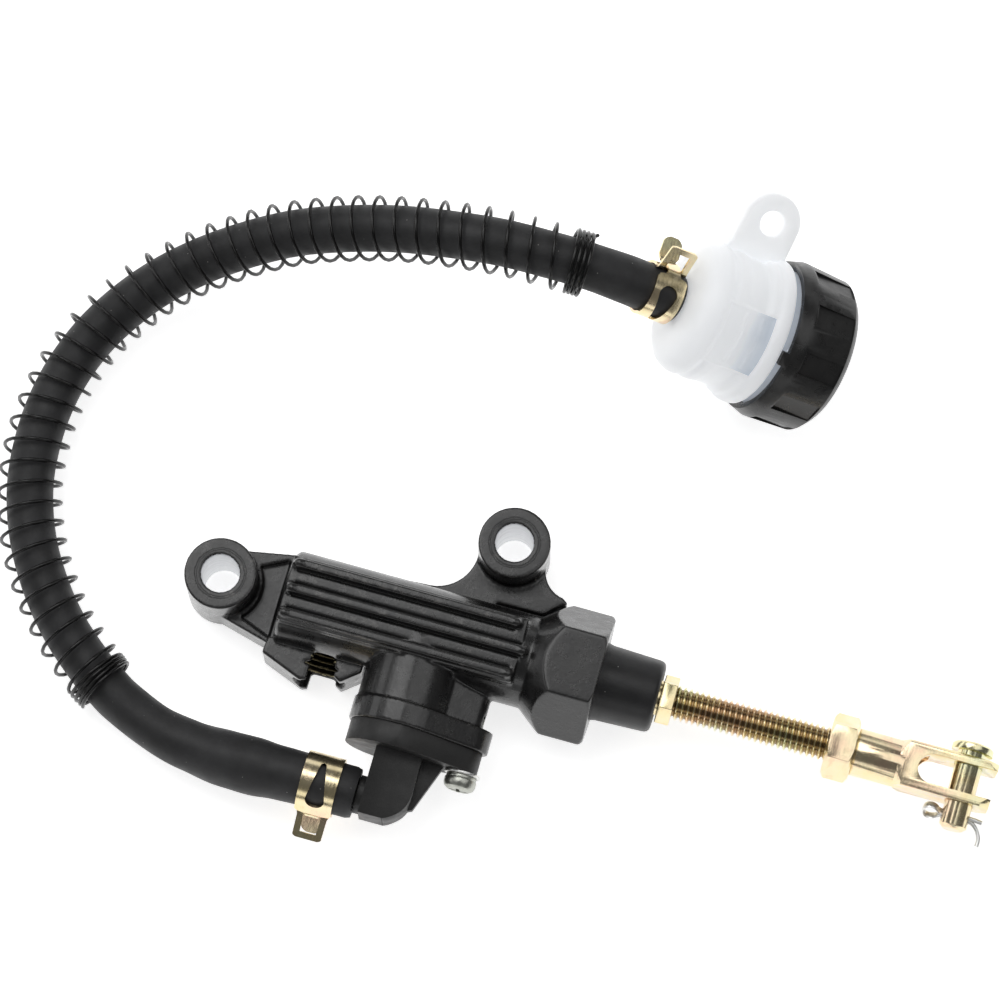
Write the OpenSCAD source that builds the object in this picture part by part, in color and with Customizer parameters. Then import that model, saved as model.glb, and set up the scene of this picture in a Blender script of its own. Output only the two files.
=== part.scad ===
// Rear brake master cylinder for a small motorcycle, with its push rod, supply hose and
// fluid reservoir. Millimetres. The part lies on its mounting faces: +Z is the direction of
// the two mounting bolts, +X runs along the bore towards the clevis, and the origin is the
// back face of the rear mounting hole.

/* [Mounting] */
// Distance along the bore between the two mounting holes
mount_dx = 46.5; // [44:0.5:49]
// Distance across the bore between the two mounting holes
mount_dy = 18.45; // [17.5:0.05:19.5]
// Diameter of a mounting hole
mount_hole_d = 6.5; // [6:0.1:7]
// Outside diameter of a mounting boss
mount_boss_d = 12.3; // [11.5:0.1:12.7]
// Thickness of the casting through a mounting boss
mount_boss_t = 14; // [12:0.5:15]
// Thickness of the web plates beside the bosses
web_t = 7.5; // [6:0.5:9]

/* [Cylinder] */
// Bore diameter
bore_d = 11; // [10.5:0.1:11.5]
// Outside diameter of the barrel
barrel_d = 16; // [15.6:0.1:16.4]
// Width across the flats of the cast hexagon
hex_af = 20; // [19:0.5:20]
// Piston travel
stroke = 7; // [5:0.5:7]
// Diameter of the outlet's tapped hole
outlet_d = 8.8; // [8:0.1:9]

/* [Push rod] */
// Diameter of the push rod's thread
rod_d = 6; // [5.6:0.1:6]
// Width across the flats of the lock nut
nut_af = 10; // [9.5:0.5:11]
// Width and height of the clevis fork
fork_w = 8; // [7.6:0.1:8.4]
// Width of the clevis slot
slot_w = 5; // [4.6:0.1:5.2]
// Diameter of the clevis pin
pin_d = 4.8; // [4.4:0.1:5]

/* [Hose and reservoir] */
// Outside diameter of the hose
hose_d = 8; // [7.6:0.1:8.4]
// Outside diameter of the guard spring's coils
guard_d = 11.4; // [11:0.1:11.5]
// Outside diameter of the reservoir cap
cap_d = 28; // [27.7:0.1:28.2]
// Diameter of the hole in the reservoir's mounting tab
tab_hole_d = 4.3; // [4:0.1:4.7]

/* [Hidden] */
$fn = 64;

// gap between a turning or sliding piece and what it fits
running = 0.05;
// gap between still pieces that lie loosely together
loose = 0.1;

// height of the bore's axis over the mounting faces
axis_z = hex_af / 2;
barrel_r = barrel_d / 2;
bore_r = bore_d / 2;
mount_r = mount_hole_d / 2;
boss_r = mount_boss_d / 2;

// stations along the bore
barrel_x0 = 11.3;
barrel_x1 = 55;
bore_x0 = 26.5;
hex_x0 = 54.5;
hex_x1 = 66.5;
counterbore_x = 61;
piston_x0 = bore_x0 + stroke + 3.5;
piston_x1 = counterbore_x - 0.1;
ball_x = 57;
boot_tip_x = 77.1;
collar_x0 = 77.2;
collar_x1 = 79.7;
nut_x0 = 106.4;
nut_x1 = 111.2;
fork_x0 = 118.6;
rod_x1 = 119;
slot_x0 = 122;
pin_x = 130.3;
fork_x1 = 135.2;

// flat crown of the barrel, and the ribs that stand in shallow troughs on it, each given by
// its two ends along the bore and its place across it
crown_z = axis_z + barrel_r + 0.1;
crown_len = 41;
ribs = [[12.2, 51.4, 4.4], [12, 53.6, 0], [12, 52.2, -4.4]];
rib_h = 1.2;
rib_r = 0.75;
trough_r = 1.25;
trough_t = 0.45;

counterbore_r = 6.8;
circlip_groove_r = 7.5;
ball_r = 3.4;
rod_r = rod_d / 2;
neck_r = 2.2;
hex_corner = 1 / cos(30);

// outlet port, on the side away from the second boss
outlet_x = 20.5;
outlet_z = 5.5;
outlet_face_y = -10.2;
outlet_seat_r = 6.2;

// inlet boss and its two-lobed flange
inlet_x = 36.5;
inlet_r = 8.2;
flange_y0 = -13.6;
flange_y1 = -17.5;
elbow_y1 = -21.3;
flange_r = 9.1;
elbow_flange_r = 8.6;
lobe_x = 47.5;
lobe_r = 4.2;
elbow_lobe_r = 3.4;
screw_x = 48.5;
pocket_r = 6;
elbow_w = 8;
elbow_end_y = -33;
screw_r = 1.2;

// hose spigot and the straight end of the hose on it
spigot_y = -29.5;
hose_x0 = 32.2;
spigot_r = 2.4;
spigot_len = 11;
hose_r = hose_d / 2;
hose_bore_r = 2.65;
guard_r = guard_d / 2;
guard_bore_r = guard_r - 0.9;

// reservoir: its axis starts where the hose ends and falls by this angle towards the cap
res_tilt = 26;
res_at = [62, 64, 25];
cap_r = cap_d / 2;
cap_z0 = 17.4;
cap_taper = 2.2;
cap_draft = 0.4;
cap_z1 = 28.7;
mouth_r = 11.9;
mouth_z = 25;
tab_turn = 20.5;
tab_y = 18.1;
tab_z = 10.2;
tab_r = 5.15;
tab_t = 2.6;
cap_recesses = 10;

// The hose's route: from the spigot, along the table and up to the reservoir's neck.
route = [
    [32.2, -29.5, 10], [27, -29.5, 10], [21, -29.5, 9.9], [13, -29.5, 8.9],
    [5, -29, 7.2], [-3, -27.5, 6.2], [-10.5, -24.5, 5.8], [-14, -22.5, 5.8],
    [-17, -20.5, 5.8], [-23.5, -15, 5.8], [-29, -8.5, 5.8], [-33.5, -1, 5.8],
    [-36.5, 7.5, 5.8], [-37.5, 16, 5.8], [-37, 24, 5.9], [-35, 31.5, 6.5],
    [-31.5, 38.5, 7.8], [-26, 45.5, 9.9], [-19.5, 51, 12.7], [-12, 55.5, 16],
    [-4, 59, 19.6], [4.5, 61.2, 23.3], [13.5, 62.7, 26.8], [22.5, 63.5, 29.5],
    [31.5, 64, 31.3], [40, 64, 31.8], [46.5, 64, 31.3], [53, 64, 29.4],
    [57.5, 64, 27.2], [62, 64, 25]
];
// the hose is stretched over the spigot and over the reservoir's neck
route_r = [for (i = [0 : len(route) - 1])
    i < 3 ? hose_r + 0.5 : i == 3 ? hose_r + 0.9 : i == 4 ? hose_r + 0.4 :
    i > len(route) - 4 ? hose_r + 0.2 : hose_r];
guard_first = 7;
guard_last = 26;

function unit(v) = v / norm(v);
function tangent(p, i) =
    unit(p[min(i + 1, len(p) - 1)] - p[max(i - 1, 0)]);
function ring(p, i, r, sides, up) =
    let (t = tangent(p, i), side = unit(cross(up, t)), top = cross(t, side))
    [for (k = [0 : sides - 1])
        p[i] + r * (cos(360 * k / sides) * side + sin(360 * k / sides) * top)];
function flatten(rows) = [for (row = rows) for (v = row) v];
// the triangles between two rings of points that start at numbers a and b
function band(a, b, sides) = [for (k = [0 : sides - 1], half = [0, 1])
    half == 0 ? [a + k, a + (k + 1) % sides, b + k] :
    [a + (k + 1) % sides, b + (k + 1) % sides, b + k]];
// points on an arc round a centre, every few degrees from one angle to another
function arc(centre, r, from, to) =
    let (n = ceil(abs(to - from) / 9))
    [for (i = [0 : n]) let (a = from + (to - from) * i / n) centre + r * [cos(a), sin(a)]];

// A solid tube swept along points p with one radius for each point.
module solid_tube(p, radii, sides, up) {
    n = len(p);
    points = flatten([for (i = [0 : n - 1]) ring(p, i, radii[i], sides, up)]);
    walls = flatten([for (i = [0 : n - 2]) band((i + 1) * sides, i * sides, sides)]);
    start = [for (k = [0 : sides - 1]) k];
    end = [for (k = [sides - 1 : -1 : 0]) (n - 1) * sides + k];
    polyhedron(points, concat(walls, [start], [end]), convexity = 6);
}

// A tube with a bore of radius bore, swept along points p.
module hollow_tube(p, radii, bore, sides, up) {
    n = len(p);
    outer = flatten([for (i = [0 : n - 1]) ring(p, i, radii[i], sides, up)]);
    inner = flatten([for (i = [0 : n - 1]) ring(p, i, bore, sides, up)]);
    m = n * sides;
    outer_walls = flatten([for (i = [0 : n - 2]) band((i + 1) * sides, i * sides, sides)]);
    inner_walls = flatten(
        [for (i = [0 : n - 2]) band(m + i * sides, m + (i + 1) * sides, sides)]);
    start = band(0, m, sides);
    end = band(m + (n - 1) * sides, (n - 1) * sides, sides);
    polyhedron(
        concat(outer, inner), concat(outer_walls, inner_walls, start, end), convexity = 8);
}

// Turns a shape drawn along +Z into one along +X, +Y or -Y, starting at a point.
module along_x(x, y = 0, z = axis_z) translate([x, y, z]) rotate([0, 90, 0]) children();
module along_y(x, y, z = axis_z) translate([x, y, z]) rotate([-90, 0, 0]) children();
module along_minus_y(x, y, z = axis_z) translate([x, y, z]) rotate([90, 0, 0]) children();

// A round bar along the bore's axis.
module x_bar(x0, x1, r) along_x(x0) cylinder(h = x1 - x0, r = r);

// A hexagonal bar along the bore's axis, with a flat on top.
module x_hex(x0, x1, af) along_x(x0) rotate([0, 0, 30])
    cylinder(h = x1 - x0, r = af / 2 * hex_corner, $fn = 6);

module turned(points) along_x(0) rotate_extrude() polygon(points);

// The two-lobed outline of the inlet flange, around the inlet's axis.
module flange_outline(r, small_r) {
    d = lobe_x - inlet_x;
    a = acos((r - small_r) / d);
    polygon(concat(arc([0, 0], r, a, 360 - a), arc([d, 0], small_r, -a, a)));
}

module flange_plate(y0, y1, r, small_r)
    along_minus_y(inlet_x, y0) linear_extrude(y0 - y1) flange_outline(r, small_r);

// The outline of a rib or of its trough, with round ends.
module rib_outline(x0, x1, y, r) polygon(
    concat(arc([x0 + rib_r, y], r, 90, 270), arc([x1 - rib_r, y], r, -90, 90)));

module mounting_bosses() {
    cylinder(h = mount_boss_t, r = boss_r);
    translate([mount_dx, mount_dy]) cylinder(h = mount_boss_t, r = boss_r);
}

// Arm from the rear boss to the barrel, with a low border around a sunk panel.
module rear_arm() difference() {
    linear_extrude(web_t)
        polygon([[0, -5.6], [barrel_x0 + 1, -8.8], [barrel_x0 + 1, 8], [0, 5.7]]);
    translate([0, 0, web_t - 0.8]) linear_extrude(2) polygon(concat(
        arc([0, 0], boss_r + 0.8, -48, 37),
        [[barrel_x0 - 0.9, 6.6], [barrel_x0 - 0.9, -7.4]]));
}

// Web between the barrel and the second boss, with a hollow curve on each side and a sunk
// strip along the barrel and the hexagon.
module boss_web() {
    boss = [mount_dx, mount_dy];
    left = boss + [-12.8, -2.55];
    right = boss + [10.9, -0.85];
    // each curve ends just inside the boss
    left_r = norm(left - boss) - boss_r + 0.15;
    right_r = norm(right - boss) - boss_r + 0.15;
    difference() {
        linear_extrude(web_t) polygon(concat(
            [[barrel_x0 + 9, 0], [barrel_x0 + 9, barrel_r - 0.2]],
            arc(left, left_r, -94, atan2(2.55, 12.8)), [boss],
            arc(right, right_r, 180 - atan2(0.85, 10.9), 262),
            [[hex_x0 + 3.1, barrel_r + 4.1], [hex_x0 + 3.1, 0]]));
        translate([0, 0, web_t - 1.2]) linear_extrude(2) polygon([
            [hex_x0 - 8.5, barrel_r - 2], [hex_x0 - 8.5, barrel_r + 0.9],
            [hex_x0 - 0.3, barrel_r + 1.1], [hex_x0 + 2.3, barrel_r + 3.5],
            [hex_x0 + 4, barrel_r + 4], [hex_x0 + 4, barrel_r - 2]
        ]);
    }
}

// Barrel with a squared base, a flat crown and three long ribs on it.
module ribbed_barrel() {
    difference() {
        union() {
            turned([
                [0, barrel_x0], [barrel_r - 0.8, barrel_x0], [barrel_r, barrel_x0 + 0.8],
                [barrel_r, barrel_x1 + 1], [0, barrel_x1 + 1]
            ]);
            translate([barrel_x0 + 0.4, -6, 0])
                cube([barrel_x1 - barrel_x0 - 0.4, 13.4, axis_z - 2]);
            translate([barrel_x0 + 0.3, -5.7, axis_z])
                cube([crown_len, 11.4, crown_z - axis_z]);
        }
        for (at = ribs) translate([0, 0, crown_z - trough_t]) linear_extrude(2)
            rib_outline(at[0], at[1], at[2], trough_r);
    }
    for (at = ribs) translate([0, 0, crown_z - 1]) linear_extrude(rib_h + 1)
        rib_outline(at[0], at[1], at[2], rib_r);
}

// Hexagon at the open end, with turned chamfers at both ends.
module hex_end() {
    corner_r = axis_z * hex_corner;
    intersection() {
        x_hex(hex_x0, hex_x1, hex_af);
        turned([
            [0, hex_x0], [barrel_r, hex_x0], [corner_r, hex_x0 + 4.5],
            [corner_r, hex_x1 - 0.6], [corner_r - 0.8, hex_x1], [0, hex_x1]
        ]);
    }
}

// Boss for the outlet, cut off level with the stops beside it.
module outlet_boss() {
    intersection() {
        along_minus_y(outlet_x, -3, outlet_z)
            cylinder(h = -3 - outlet_face_y, r = outlet_seat_r);
        translate([outlet_x - 10, -20, 0]) cube([20, 20, axis_z - 0.4]);
    }
    translate([outlet_x - 7, outlet_face_y + 1.2, 0]) cube([14, 6, outlet_z]);
}

// Two stops beside the outlet.
module outlet_lugs() {
    linear_extrude(axis_z) {
        polygon([[10.4, -7.5], [10.1, -10.4], [17.5, -13.3], [18.5, -13], [18.7, -7.5]]);
        polygon([[22.5, -7.5], [23, -11.2], [24.2, -11.9], [27.3, -9.4], [27.3, -7.5]]);
    }
}

module inlet_boss() {
    along_minus_y(inlet_x - 0.5, -2) cylinder(h = -2 - flange_y0 + 1, r = inlet_r);
    flange_plate(flange_y0, flange_y1, flange_r, lobe_r);
    // web from the boss to the screw's lobe
    flange_plate(-5, flange_y0 - 1, inlet_r - 2, 2.3);
}

module body_casting() color([0.06, 0.06, 0.065]) difference() {
    union() {
        mounting_bosses();
        rear_arm();
        boss_web();
        ribbed_barrel();
        hex_end();
        outlet_boss();
        outlet_lugs();
        inlet_boss();
    }
    for (at = [[0, 0], [mount_dx, mount_dy]])
        translate([at[0], at[1], -1]) cylinder(h = mount_boss_t + 2, r = mount_r);
    // bore, its counterbore and the circlip's groove
    x_bar(bore_x0, hex_x1, bore_r);
    x_bar(counterbore_x, hex_x1 + 1, counterbore_r);
    x_bar(counterbore_x + 1, counterbore_x + 2.1, circlip_groove_r);
    // outlet and the passage to it
    along_minus_y(outlet_x, 1, outlet_z) cylinder(h = 1 - outlet_face_y + 5, d = outlet_d);
    along_minus_y(outlet_x, outlet_face_y + 0.9, outlet_z)
        cylinder(h = 1, r1 = outlet_d / 2, r2 = outlet_d / 2 + 1);
    x_bar(outlet_x, bore_x0 + 1, 1.5);
    // inlet pocket with its supply and compensating holes
    along_minus_y(inlet_x, -8.2) cylinder(h = -flange_y1 - 8.2 + 1, r = pocket_r);
    along_minus_y(inlet_x + 4.9, -4) cylinder(h = 5, r = 1);
    along_minus_y(inlet_x + 1.1, -4) cylinder(h = 5, r = 0.4);
    along_minus_y(screw_x, -11) cylinder(h = -flange_y1 - 11 + 1, r = screw_r + running);
}

module piston() color([0.72, 0.74, 0.76]) difference() {
    land_r = bore_r - running;
    turned([
        [0, piston_x0], [2.2, piston_x0], [2.2, piston_x0 + 1.2], [3, piston_x0 + 1.2],
        [3, piston_x0 + 3.6], [land_r, piston_x0 + 3.6], [land_r, piston_x0 + 5.6],
        [3.6, piston_x0 + 6.4], [3.6, piston_x1 - 10.4], [land_r, piston_x1 - 9.6],
        [land_r, piston_x1 - 8.4], [3.9, piston_x1 - 8.4], [3.9, piston_x1 - 6],
        [land_r, piston_x1 - 6], [land_r, piston_x1], [0, piston_x1]
    ]);
    along_x(ball_x) sphere(r = ball_r + running);
    x_bar(ball_x, piston_x1 + 1, ball_r - 0.3);
}

// A ring seal on the piston with its lip towards the pressure side.
module cup_seal(x0, x1, inner_r) turned([
    [inner_r, x1], [bore_r - running, x1], [bore_r - running, x0],
    [bore_r - 0.7, x0], [bore_r - 1.1, x0 + 0.9], [inner_r, x0 + 0.9]
]);

module primary_cup_seal() color([0.09, 0.09, 0.1])
    cup_seal(piston_x0 + 1.2, piston_x0 + 3.6, 3);

module secondary_cup_seal() color([0.09, 0.09, 0.1])
    cup_seal(piston_x1 - 8.4, piston_x1 - 6, 3.9);

// Coil spring between the closed end of the bore and the piston.
module return_spring() color([0.6, 0.62, 0.65]) {
    turns = 4.5;
    steps = 12;
    wire_r = 0.5;
    coil_r = 4.3;
    x0 = bore_x0 + 0.9;
    x1 = piston_x0 + 1.1;
    n = turns * steps;
    coil = [for (i = [0 : n])
        let (a = 360 * i / steps, x = x0 + wire_r + (x1 - x0 - 2 * wire_r) * i / n)
        [x, coil_r * cos(a), axis_z + coil_r * sin(a)]];
    solid_tube(coil, [for (i = [0 : n]) wire_r], 6, [1, 0, 0]);
}

module spring_seat() color([0.7, 0.68, 0.55]) turned([
    [1.7, bore_x0 + loose], [bore_r - loose, bore_x0 + loose],
    [bore_r - loose, bore_x0 + 0.8], [1.7, bore_x0 + 0.8]
]);

module stop_washer() color([0.7, 0.68, 0.55]) turned([
    [3.9, counterbore_x], [counterbore_r - loose, counterbore_x],
    [counterbore_r - loose, counterbore_x + 0.95], [3.9, counterbore_x + 0.95]
]);

// Open retaining ring in its groove.
module circlip() color([0.3, 0.3, 0.32]) difference() {
    x_bar(counterbore_x + 1.05, counterbore_x + 2.05, circlip_groove_r - loose);
    x_bar(counterbore_x, counterbore_x + 3, 5.4);
    translate([counterbore_x, -1.6, axis_z]) cube([3, 3.2, 9]);
}

// Rubber boot held in the counterbore, closed round the rod at its tip.
module dust_boot() color([0.1, 0.1, 0.11]) turned([
    [5.6, counterbore_x + 2.6], [counterbore_r - running, counterbore_x + 2.6],
    [counterbore_r - running, hex_x1 + 0.3], [6.5, hex_x1 + 0.9],
    [6.3, boot_tip_x - 1.2], [6, boot_tip_x - 0.5], [5.3, boot_tip_x],
    [rod_r + running, boot_tip_x], [rod_r + running, boot_tip_x - 2.2],
    [4.8, boot_tip_x - 2.2], [5.2, boot_tip_x - 3], [5.2, hex_x1]
]);

module push_rod() color([0.85, 0.76, 0.5]) {
    along_x(ball_x) sphere(r = ball_r);
    x_bar(ball_x, hex_x1, neck_r);
    x_bar(hex_x1 - 1, rod_x1, rod_r);
    x_hex(collar_x0, collar_x1, 7.4);
}

module lock_nut() color([0.87, 0.79, 0.5]) difference() {
    corner_r = nut_af / 2 * hex_corner;
    intersection() {
        x_hex(nut_x0, nut_x1 - running, nut_af);
        turned([
            [0, nut_x0], [corner_r - 1, nut_x0], [corner_r, nut_x0 + 0.6],
            [corner_r, nut_x1 - 0.65], [corner_r - 1, nut_x1 - 0.05], [0, nut_x1 - 0.05]
        ]);
    }
    x_bar(nut_x0 - 1, nut_x1 + 1, rod_r + running);
}

// Fork with a round threaded shank and a slot with a round end.
module clevis() color([0.86, 0.78, 0.52]) difference() {
    slot_end = slot_x0 + slot_w / 2;
    union() {
        x_bar(nut_x1, fork_x0 + 1, 4.1);
        intersection() {
            translate([fork_x0, -fork_w / 2, axis_z - fork_w / 2])
                cube([fork_x1 - fork_x0, fork_w, fork_w]);
            turned([
                [0, fork_x0], [4.1, fork_x0], [5.3, fork_x0 + 1.2], [5.3, fork_x1 - 1.6],
                [4.4, fork_x1], [0, fork_x1]
            ]);
        }
    }
    x_bar(nut_x1 - 1, slot_end - 1, rod_r + running);
    translate([slot_end, 0, 0]) cylinder(h = 20, d = slot_w);
    translate([slot_end, -slot_w / 2, 0]) cube([20, slot_w, 20]);
    along_y(pin_x, -fork_w) cylinder(h = 2 * fork_w, r = pin_d / 2 + running);
}

pin_head_y = fork_w / 2 + 1;
pin_tip_y = -fork_w / 2 - 4.5;
split_y = -fork_w / 2 - 2.2;

module clevis_pin() color([0.86, 0.78, 0.52]) difference() {
    r = pin_d / 2;
    along_y(pin_x, pin_tip_y) rotate_extrude() polygon([
        [0, 0], [r - 0.7, 0], [r, 0.6], [r, pin_head_y - pin_tip_y],
        [3.6, pin_head_y - pin_tip_y], [3.6, pin_head_y - pin_tip_y + 1],
        [3.2, pin_head_y - pin_tip_y + 1.4], [0, pin_head_y - pin_tip_y + 1.4]
    ]);
    translate([pin_x - 4, split_y, axis_z]) rotate([0, 90, 0]) cylinder(h = 8, r = 0.85);
}

// Split pin: an eye on the shank's side and two legs beyond the pin, one bent away.
module split_pin() color([0.78, 0.79, 0.8]) translate([pin_x, split_y, axis_z]) {
    wire = 0.7;
    rotate([0, 90, 0]) translate([0, 0, -2.9]) cylinder(h = 5.4, r = wire);
    translate([-4.2, -0.3, 0]) rotate([20, 0, 0]) rotate_extrude() translate([1.15, 0])
        circle(r = 0.45, $fn = 24);
    bent = [[2.3, -0.2, 0], [3.4, -0.7, 0], [4.2, -1.6, 0], [4.7, -2.8, 0], [4.7, -4, 0]];
    solid_tube(bent, [for (p = bent) 0.45], 8, [0, 0, 1]);
    translate([2.3, 0.25, 0]) rotate([0, 90, 0]) cylinder(h = 2.2, r = 0.4);
}

// Plastic elbow: flange, square knuckle with a stiffening web, pilot and hose spigot.
module inlet_elbow() color([0.1, 0.1, 0.1]) difference() {
    half = elbow_w / 2;
    union() {
        flange_plate(flange_y1, elbow_y1, elbow_flange_r, elbow_lobe_r);
        along_minus_y(inlet_x, flange_y1 + 3) difference() {
            cylinder(h = 3.2, r = pocket_r - loose);
            translate([0, 0, 0.8]) difference() {
                cylinder(h = 1.6, r = pocket_r + 1);
                translate([0, 0, -1]) cylinder(h = 4, r = 4.5);
            }
        }
        translate([0, 0, axis_z - half]) linear_extrude(elbow_w) polygon([
            [inlet_x - 3, flange_y1 - 1], [inlet_x + 5, flange_y1 - 1],
            [inlet_x + 5, elbow_end_y + 3], [inlet_x + 2.2, elbow_end_y + 0.2],
            [inlet_x + 1.2, elbow_end_y], [inlet_x - 3, elbow_end_y]
        ]);
        translate([0, 0, axis_z - 0.9]) linear_extrude(1.8) polygon([
            [inlet_x + 4, elbow_y1 + 1], [inlet_x + 8.7, elbow_y1 + 1],
            [inlet_x + 8.7, elbow_y1], [inlet_x + 5.6, elbow_end_y + 3.2],
            [inlet_x + 2, elbow_end_y + 1.4]
        ]);
        translate([hose_x0 + 0.2, spigot_y, axis_z]) rotate([0, 90, 0])
            cylinder(h = 3, r = 3.3);
        translate([hose_x0 - spigot_len, spigot_y, axis_z]) rotate([0, 90, 0])
            cylinder(h = spigot_len + 3, r = spigot_r);
    }
    along_minus_y(inlet_x, flange_y1 + 4) cylinder(h = 15.5, r = 2);
    translate([hose_x0 - spigot_len - 1, spigot_y, axis_z]) rotate([0, 90, 0])
        cylinder(h = spigot_len + 5.3, r = 1.5);
    along_minus_y(screw_x, flange_y1 + 1) cylinder(h = 6, r = screw_r + 0.3);
}

module elbow_o_ring() color([0.07, 0.07, 0.07])
    along_minus_y(inlet_x, flange_y1 + 1.4) rotate_extrude()
        translate([5.2, 0]) circle(r = 0.68, $fn = 24);

washer_y = elbow_y1;
module elbow_flat_washer() color([0.75, 0.75, 0.72]) along_minus_y(screw_x, washer_y)
    difference() {
        cylinder(h = 0.5, r = 3.05);
        translate([0, 0, -1]) cylinder(h = 3, r = 1.6);
    }

// Split spring washer between the flat washer and the screw's head.
module elbow_spring_washer() color([0.75, 0.75, 0.72]) along_minus_y(screw_x, washer_y - 0.5)
    difference() {
        cylinder(h = 0.7, r = 2.6);
        translate([0, 0, -1]) cylinder(h = 3, r = 1.6);
        translate([0, -0.25, -1]) cube([4, 0.5, 3]);
    }

// Pan head screw with a cross recess.
module elbow_screw() color([0.75, 0.75, 0.72]) difference() {
    head_y = washer_y - 1.2;
    union() {
        along_minus_y(screw_x, -11.5) cylinder(h = -head_y - 11.5 + 0.5, r = screw_r);
        along_minus_y(screw_x, head_y) rotate_extrude() polygon([
            [0, 0], [2.75, 0], [2.75, 0.9], [2.5, 1.5], [1.9, 1.9], [0, 2]
        ]);
    }
    along_minus_y(screw_x, head_y - 0.9) for (turn = [0, 90]) rotate([0, 0, turn])
        translate([-1.5, -0.3, 0]) cube([3, 0.6, 2]);
}

module supply_hose() color([0.12, 0.12, 0.125])
    hollow_tube(route, route_r, hose_bore_r, 12, [0, 0, 1]);

// Outer shape of the wire coils that guard the hose.
module hose_guard_spring() color([0.05, 0.05, 0.05]) {
    part = [for (i = [guard_first : guard_last]) route[i]];
    hollow_tube(part, [for (p = part) guard_r], guard_bore_r, 12, [0, 0, 1]);
}

// Spring band round a hose of radius r, along +Z, with a wide ear and a narrow one. The
// narrow ear stands a little way on from the wide one, to the side that hand gives.
module hose_clamp(r, hand) {
    band_w = 6.3;
    band_t = 0.5;
    difference() {
        union() {
            translate([0, 0, -band_w / 2]) cylinder(h = band_w, r = r + band_t);
            translate([r - 0.6, -band_t / 2, -2.6]) cube([5.5, band_t, 5.2]);
            rotate([0, 0, hand * 30]) translate([r - 0.6, -band_t / 2, -1.9])
                cube([6, band_t, 3.8]);
        }
        translate([0, 0, -band_w]) cylinder(h = 2 * band_w, r = r);
    }
}

module lower_hose_clamp() color([0.86, 0.78, 0.5])
    translate([26, spigot_y, axis_z]) rotate([0, 90, 0]) rotate([0, 0, -75])
        hose_clamp(hose_r + 0.6, 1);

module reservoir_place() translate(res_at) rotate([0, 90 + res_tilt, 0]) children();

module upper_hose_clamp() color([0.86, 0.78, 0.5]) reservoir_place()
    translate([0, 0, -3.9]) rotate([0, 0, 135]) hose_clamp(hose_r + 0.3, -1);

// The blow moulded bottle is drawn in three pieces that meet without overlapping: a base
// with the hose neck, the wall from the bowl up to the mouth, and the mounting tab.
bottle_outside = [
    [9.4, 1], [10.8, 1.8], [11.6, 3], [11.8, 4.2], [11.4, 5.3], [11.8, 6.9], [11.5, 9],
    [11.4, 11.4], [12.3, 12.9], [12.4, 13.7], [13, 14.1], [13, 16.2], [mouth_r, 16.2],
    [mouth_r, mouth_z]
];
bottle_inside = [
    [10.5, mouth_z], [10.5, 15.2], [11.2, 14.2], [11.2, 13.2], [10.4, 11.7], [10.4, 9],
    [10.7, 7], [10.4, 5.4], [10.7, 4.2], [10.4, 3.3], [9, 2.2]
];

module reservoir_base() color([0.94, 0.95, 0.96, 0.6]) reservoir_place()
    rotate_extrude() polygon([
        [1.5, -9], [spigot_r, -9], [spigot_r, 0.3], [3.5, 0.3], [3.5, 0.5], [6.5, 0.65],
        bottle_outside[0], bottle_inside[len(bottle_inside) - 1], [5.5, 1.6], [1.5, 1.5]
    ]);

module reservoir_bottle() color([0.94, 0.95, 0.96, 0.6]) reservoir_place()
    rotate_extrude() polygon(concat(bottle_outside, bottle_inside));

module reservoir_tab() color([0.94, 0.95, 0.96, 0.6]) reservoir_place()
rotate([0, 0, tab_turn]) difference() {
    translate([-tab_t / 2, 0, 0]) rotate([90, 0, 90]) linear_extrude(tab_t) {
        translate([tab_y, tab_z]) circle(r = tab_r);
        polygon([
            [9, 4.1], [12.7, 4.15], [13, 4.5], [tab_y, tab_z - tab_r],
            [tab_y, tab_z + tab_r], [9, tab_z + tab_r - 0.3]
        ]);
    }
    rotate_extrude() polygon(concat([[0, 0.65], [6.5, 0.65]], bottle_outside, [[0, mouth_z]]));
    translate([-tab_t, tab_y, tab_z]) rotate([0, 90, 0])
        cylinder(h = 2 * tab_t, d = tab_hole_d);
}

// Rubber bellows with a flange on the bottle's mouth.
module reservoir_diaphragm() color([0.1, 0.1, 0.1]) reservoir_place()
    rotate_extrude() polygon([
        [0, 20], [8.6, 20], [9.6, 21], [9.9, mouth_z + 0.02], [mouth_r, mouth_z + 0.02],
        [mouth_r, mouth_z + 0.8], [9, mouth_z + 0.8], [8.7, 21.4], [8.2, 20.9], [0, 20.9]
    ]);

// Stiff disc between the bellows and the cap, with a vent hole.
module diaphragm_plate() color([0.85, 0.85, 0.82]) reservoir_place() difference() {
    translate([0, 0, mouth_z + 0.82]) cylinder(h = 1, r = mouth_r);
    translate([5, 0, mouth_z]) cylinder(h = 3, r = 0.8);
}

// Screw cap with a tapered skirt, grip recesses round its side and a small locking tab.
module reservoir_cap() color([0.08, 0.08, 0.085]) reservoir_place() {
    difference() {
        rotate_extrude() polygon([
            [mouth_r + 0.4, cap_z0], [cap_r - 0.7, cap_z0], [cap_r, cap_z0 + cap_taper],
            [cap_r - cap_draft, cap_z1 - 1.2], [cap_r - cap_draft - 1.2, cap_z1],
            [0, cap_z1], [0, mouth_z + 1.9], [mouth_r + 0.4, mouth_z + 1.9]
        ]);
        for (i = [0 : cap_recesses - 1]) rotate([0, 0, 360 * i / cap_recesses + 24])
            translate([cap_r - cap_draft - 0.3, -2, cap_z0 + cap_taper + 0.4])
                cube([2, 4, cap_z1 - cap_z0 - cap_taper - 1.7]);
    }
    rotate([0, 0, 207]) translate([mouth_r + 0.5, -1.2, 16.3])
        cube([0.9, 2.4, cap_z0 + 1 - 16.3]);
}

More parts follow.
